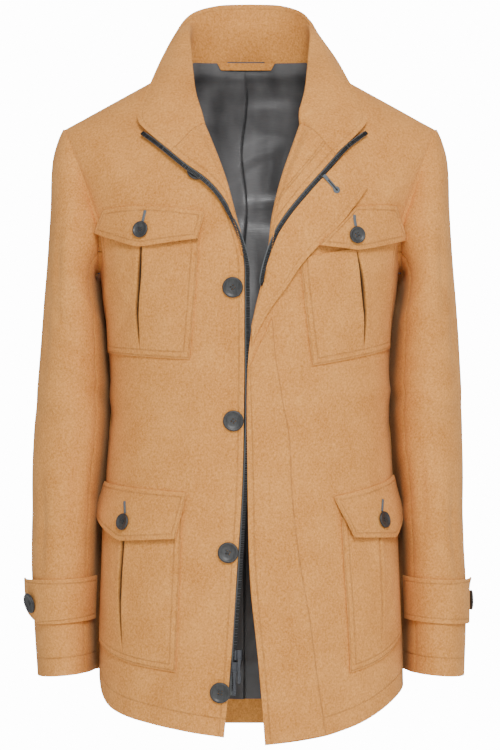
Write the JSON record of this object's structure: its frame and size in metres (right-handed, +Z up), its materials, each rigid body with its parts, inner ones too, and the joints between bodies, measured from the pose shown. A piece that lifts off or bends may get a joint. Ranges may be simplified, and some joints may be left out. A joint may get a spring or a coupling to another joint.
{
  "type": "field jacket",
  "caption": "Thigh-length camel wool field jacket, unzipped, with turned collar and facings, patch pockets with pointed flaps, and strapped cuffs, filled out hollow.",
  "frame": {"origin": "at the neck, in the middle between the shoulder seams' inner ends, where shoulders or a hanger hold the jacket", "axes": "+Z up along the jacket's length, -Y out of its front, +X towards the wearer's left"},
  "size_m": [0.5507, 0.2782, 0.8998],
  "materials": {
    "wool": "soft felted nap",
    "lining_satin": "satin sheen",
    "zip_tape": "woven tape with dark teeth",
    "button_horn": "satin",
    "zip_metal": "dark plated"
  },
  "bodies": {
    "jacket": {"front_right": "wool", "front_left": "wool", "back_right": "wool", "back_left": "wool", "collar": "wool", "facing_right": "wool", "facing_left": "wool", "placket": "wool", "fly": "wool", "sleeve_top_right": "wool", "sleeve_under_right": "wool", "sleeve_top_left": "wool", "sleeve_under_left": "wool", "cuff_strap_right": "wool", "cuff_strap_left": "wool", "chest_pocket_right": "wool", "chest_pocket_left": "wool", "lower_pocket_right": "wool", "lower_pocket_left": "wool", "chest_flap_right": "wool", "chest_flap_left": "wool", "lower_flap_right": "wool", "lower_flap_left": "wool", "hanger_loop": "wool", "back_lining": "lining_satin", "zip_right": "zip_tape", "zip_left": "zip_tape", "front_button_1": "button_horn", "front_button_2": "button_horn", "front_button_3": "button_horn", "front_button_4": "button_horn", "front_button_5": "button_horn", "chest_button_right": "button_horn", "chest_button_left": "button_horn", "lower_button_right": "button_horn", "lower_button_left": "button_horn", "cuff_button_right": "button_horn", "cuff_button_left": "button_horn", "slider_upper": "zip_metal", "slider_lower": "zip_metal"},
    "tab_upper": {"pull_upper": "zip_metal"},
    "tab_lower": {"pull_lower": "zip_metal"}
  },
  "joints": [
    {"name": "tab_upper_hinge", "type": "hinge", "parent": "jacket", "child": "tab_upper", "pos_m": [-0.0128, -0.14435, -0.71125], "axis": [-1, 0, 0], "range_deg": [0, 115]},
    {"name": "tab_lower_hinge", "type": "hinge", "parent": "jacket", "child": "tab_lower", "pos_m": [-0.0184, -0.14441, -0.72555], "axis": [-1, 0, 0], "range_deg": [0, 115]}
  ]
}
